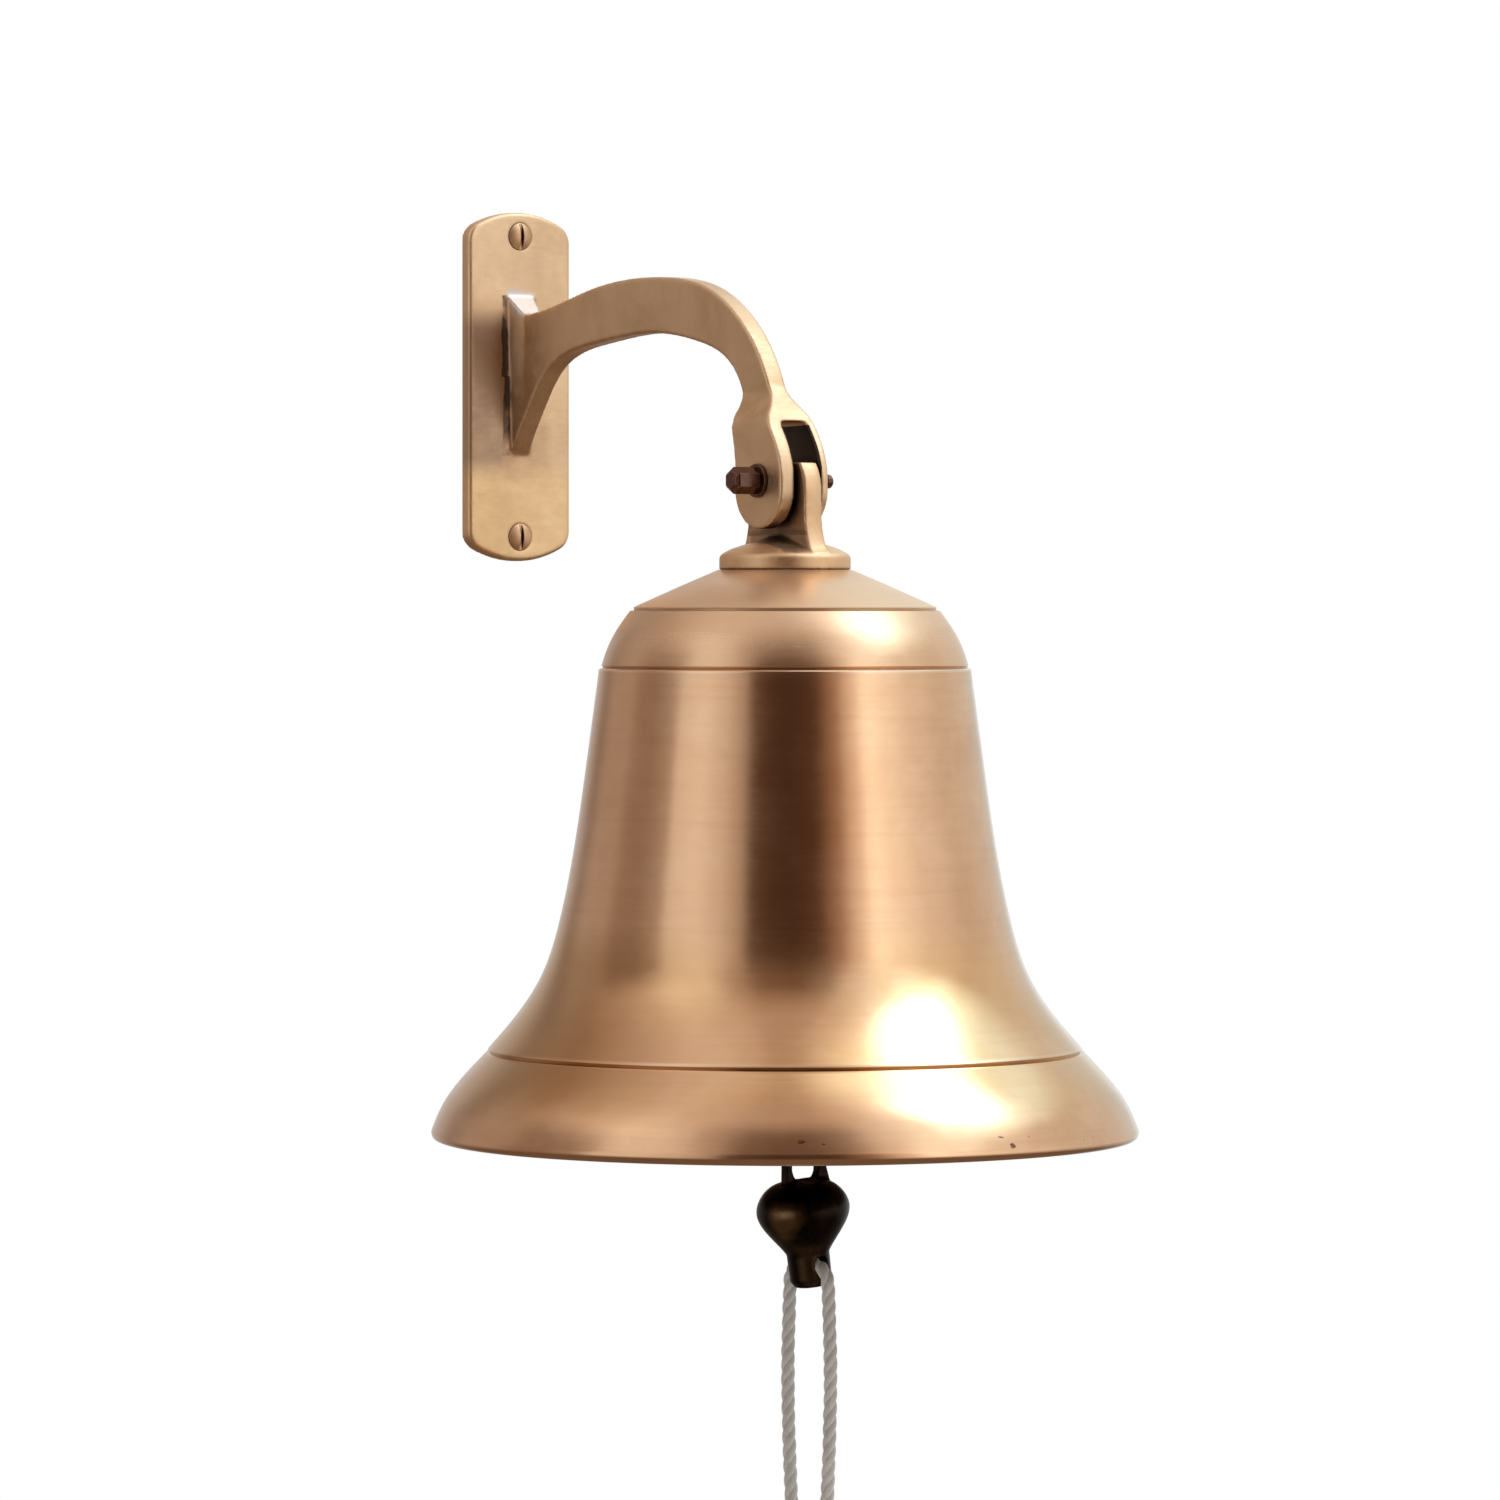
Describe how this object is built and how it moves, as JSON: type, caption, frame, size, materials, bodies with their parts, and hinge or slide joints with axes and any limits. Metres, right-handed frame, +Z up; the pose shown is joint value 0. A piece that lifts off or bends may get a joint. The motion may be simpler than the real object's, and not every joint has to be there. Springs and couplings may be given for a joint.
{
  "type": "ship bell",
  "caption": "Wall-hung ship bell: brass bell pivoting in a fork on a swan-neck wall bracket, with an inside clapper and a cotton rope lanyard.",
  "frame": {"origin": "centre of the wall plate's back face, on the wall", "axes": "+Y into the wall, the bracket reaches along -Y, X along the wall and the pivot bolt, +Z up"},
  "size_m": [0.2032, 0.2625, 0.4599],
  "materials": {
    "bracket_brass": "satin, lightly aged",
    "bell_brass": "turned and brushed, antiqued",
    "hanger_brass": "satin, lightly aged",
    "screw_brass": "satin",
    "dark_bronze": "dark bronzed",
    "rod_bronze": "dark bronzed wire",
    "clapper_bronze": "nearly black bronze",
    "cotton_cord": "twisted cotton"
  },
  "bodies": {
    "bracket": {"wall_bracket": "bracket_brass", "upper_wall_screw": "screw_brass", "lower_wall_screw": "screw_brass", "pivot_bolt": "dark_bronze", "pivot_washer_head": "dark_bronze", "pivot_washer_nut": "dark_bronze", "pivot_nut": "dark_bronze"},
    "bell": {"bell": "bell_brass", "hanger": "hanger_brass", "crown_washer": "dark_bronze", "crown_nut": "dark_bronze"},
    "clapper_rod": {"clapper_rod": "rod_bronze"},
    "clapper_ball": {"clapper_ball": "clapper_bronze"},
    "lanyard": {"lanyard_front_strand": "cotton_cord", "lanyard_back_strand": "cotton_cord", "lanyard_knot": "cotton_cord", "lanyard_front_tail": "cotton_cord", "lanyard_back_tail": "cotton_cord"}
  },
  "joints": [
    {"name": "bell_swing", "type": "hinge", "parent": "bracket", "child": "bell", "pos_m": [0, -0.14, -0.0305], "axis": [-1, 0, 0], "range_deg": [-11, 60]},
    {"name": "clapper_swing", "type": "hinge", "parent": "bell", "child": "clapper_rod", "pos_m": [0, -0.14, -0.0853], "axis": [-1, 0, 0], "range_deg": [-30, 30]},
    {"name": "ball_rock", "type": "hinge", "parent": "clapper_rod", "child": "clapper_ball", "pos_m": [0.0064, -0.14, -0.2233], "axis": [0, 1, 0], "range_deg": [-18, 18]},
    {"name": "lanyard_swing", "type": "hinge", "parent": "clapper_ball", "child": "lanyard", "pos_m": [0.00861, -0.14, -0.25565], "axis": [0, 1, 0], "range_deg": [-35, 35]}
  ]
}
